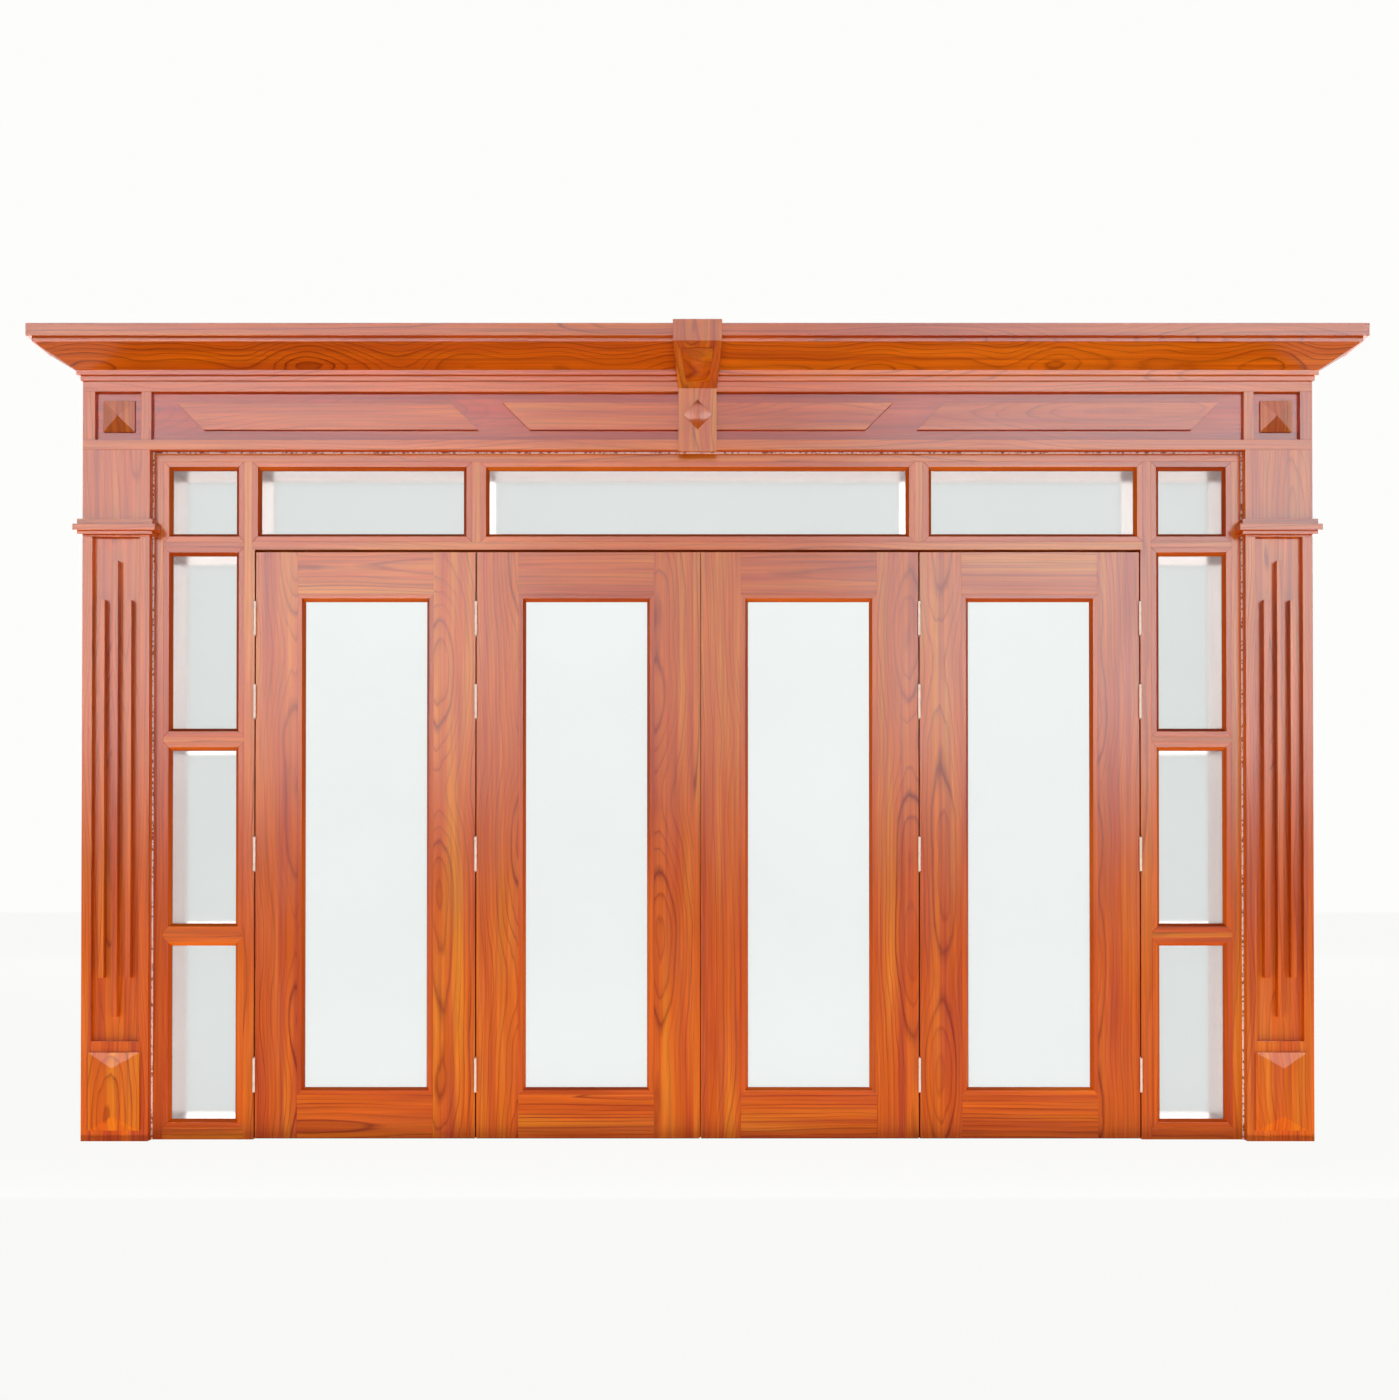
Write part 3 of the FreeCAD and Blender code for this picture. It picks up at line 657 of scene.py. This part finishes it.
sealLook = {"pale": "#f2dfd6", "dark": "#8a4a34", "roughness": 0.7,
            "patches": ((110.0, 110.0, 110.0), 1.0), "darkTo": 0.40, "paleFrom": 0.46}


def sealMaterial():
    material, tree = newMaterial("paleSealant")
    patches = stretchedNoise(tree, objectPlace(tree), *sealLook["patches"])
    colour = colourRamp(tree, patches, [(sealLook["darkTo"], linear(sealLook["dark"])),
                                        (sealLook["paleFrom"], linear(sealLook["pale"]))])
    closeWithSurface(tree, {"Roughness": sealLook["roughness"]}, {"Base Color": colour})
    return material


coatNode("perimeter_seal", sealMaterial())
print("sealant done")


# floor and world: pale to the camera and in the gloss, while the light they carry stays low

stage = {"floorSize": 90.0, "floorDrop": 0.0005, "floorColour": "#e4e4e2", "whiteShare": 0.95,
         "ambient": 0.28, "backdrop": "#fdfdfb"}
middleX = (cadBox[0][0] + cadBox[1][0]) / 2


def seenDirectly(tree):  # 1 for rays that show the backdrop, 0 for rays that carry light
    rays = addNode(tree, "ShaderNodeLightPath").outputs
    seen = mathStep(tree, "MAXIMUM", rays["Is Camera Ray"], rays["Is Glossy Ray"])
    return mathStep(tree, "MAXIMUM", seen, rays["Is Transmission Ray"])


def floorMaterial():
    material, tree = newMaterial("paleStudioFloor")
    share = mathStep(tree, "MULTIPLY", seenDirectly(tree), stage["whiteShare"])
    lit = addNode(tree, "ShaderNodeBsdfDiffuse", {"Color": linear(stage["floorColour"])})
    white = addNode(tree, "ShaderNodeEmission",
                    {"Color": linear(stage["backdrop"]), "Strength": 1.0})
    mixed = addNode(tree, "ShaderNodeMixShader",
                    links={0: share, 1: lit.outputs[0], 2: white.outputs[0]})
    addNode(tree, "ShaderNodeOutputMaterial", links={0: mixed.outputs[0]})
    return material


def layFloor():
    reach = stage["floorSize"] / 2
    outline = [(middleX + x * reach, y * reach, -stage["floorDrop"])
               for x, y in ((-1, -1), (1, -1), (1, 1), (-1, 1))]
    data = bpy.data.meshes.new("studioFloor")
    data.from_pydata(outline, [], [(0, 1, 2, 3)])
    data.materials.append(floorMaterial())
    floor = bpy.data.objects.new("studioFloor", data)
    bpy.context.scene.collection.objects.link(floor)


def makeWorld():
    world = bpy.data.worlds.new("paleStudio")
    bpy.context.scene.world = world
    world.use_nodes = True
    tree = world.node_tree
    tree.nodes.clear()
    strength = remap(tree, seenDirectly(tree), (0.0, 1.0), (stage["ambient"], 1.0))
    sky = addNode(tree, "ShaderNodeBackground", {"Color": linear(stage["backdrop"])},
                  {"Strength": strength})
    addNode(tree, "ShaderNodeOutputWorld", links={0: sky.outputs[0]})


layFloor()
makeWorld()


# lamps: metres from the middle of the doorway; radiance 1 would look plain white

lamps = {
    "lowWash": {"place": (0.0, -1.2, 0.25), "aim": (0.0, 0.0, 0.25), "size": (8.5, 0.46),
                "radiance": 2.0, "inGloss": False},
    "floorWash": {"place": (0.0, -3.25, 0.02), "aim": (0.0, -3.25, 3.0), "size": (9.0, 6.4),
                  "radiance": 1.2, "inGloss": False},
    "backSoftbox": {"place": (0.0, 16.0, 6.0), "aim": (0.0, 0.0, 1.5), "size": (16.0, 7.0),
                    "radiance": 2.6},
}
glossLamps = {  # seen only as the sheen on the varnish
    "leftGlossBox": {"place": (-9.5, -20.0, 6.3), "aim": (0.0, 0.0, 1.5), "size": (15.2, 7.8),
                     "radiance": 31.0},
    "middleGlossBox": {"place": (0.1, -20.0, 6.3), "aim": (0.0, 0.0, 1.5), "size": (4.0, 7.8),
                       "radiance": 17.0},
    "rightGlossBox": {"place": (9.7, -20.0, 6.3), "aim": (0.0, 0.0, 1.5), "size": (15.2, 7.8),
                      "radiance": 35.0},
    "topGlossBox": {"place": (0.0, -7.0, 7.2), "aim": (0.0, 0.0, 1.8), "size": (13.0, 3.4),
                    "radiance": 21.0},
    "leftSideGlossBox": {"place": (-20.5, -16.5, 5.6), "aim": (-2.0, 0.0, 2.2),
                         "size": (8.0, 7.0), "radiance": 14.0},
    "rightSideGlossBox": {"place": (20.5, -16.5, 5.6), "aim": (2.0, 0.0, 2.2),
                          "size": (8.0, 7.0), "radiance": 14.0},
    "backGlossBox": {"place": (0.0, 14.0, 3.3), "aim": (0.0, 0.0, 3.3), "size": (16.0, 6.6),
                     "radiance": 4.6, "colour": "#fff4f0"},
    "backFloorGloss": {"place": (0.0, 7.2, 0.02), "aim": (0.0, 7.2, 3.0), "size": (16.0, 13.6),
                       "radiance": 5.0, "colour": "#fff4f0"},
}


def addLamp(name, lamp):
    data = bpy.data.lights.new(name, "AREA")
    data.shape = "RECTANGLE"
    data.size, data.size_y = lamp["size"]
    data.energy = lamp["radiance"] * math.pi * data.size * data.size_y
    data.color = linear(lamp.get("colour", "#ffffff"))[:3]
    light = bpy.data.objects.new(name, data)
    light.location = Vector(lamp["place"]) + Vector((middleX, 0, 0))
    towards = Vector(lamp["aim"]) - Vector(lamp["place"])
    light.rotation_euler = towards.to_track_quat("-Z", "Y").to_euler()
    light.visible_camera = False
    light.visible_transmission = False
    light.visible_glossy = lamp.get("inGloss", True)
    bpy.context.scene.collection.objects.link(light)
    return light


for name, lamp in lamps.items():
    addLamp(name, lamp)
for name, lamp in glossLamps.items():
    glossLight = addLamp(name, lamp)
    glossLight.visible_diffuse = False
    glossLight.light_linking.receiver_collection = varnished
print("floor, world and lamps set")


# camera: metres from the front, degrees of tilt, millimetres of lens and sensor

viewpoint = {"distance": 6.44, "height": 0.971, "tilt": 0.54, "lens": 44.19, "sensor": 36.0,
             "shiftX": 0.0014, "shiftY": 0.117, "clipEnd": 200.0}


def addCamera():
    data = bpy.data.cameras.new("studioCamera")
    data.lens = viewpoint["lens"]
    data.sensor_width = viewpoint["sensor"]
    data.shift_x = viewpoint["shiftX"]
    data.shift_y = viewpoint["shiftY"]
    data.clip_end = viewpoint["clipEnd"]
    camera = bpy.data.objects.new("studioCamera", data)
    camera.location = (middleX, -viewpoint["distance"], viewpoint["height"])
    camera.rotation_euler = (math.radians(90 + viewpoint["tilt"]), 0, 0)
    bpy.context.scene.collection.objects.link(camera)
    bpy.context.scene.camera = camera


addCamera()
bpy.context.scene.view_settings.view_transform = "Standard"
print("camera set")
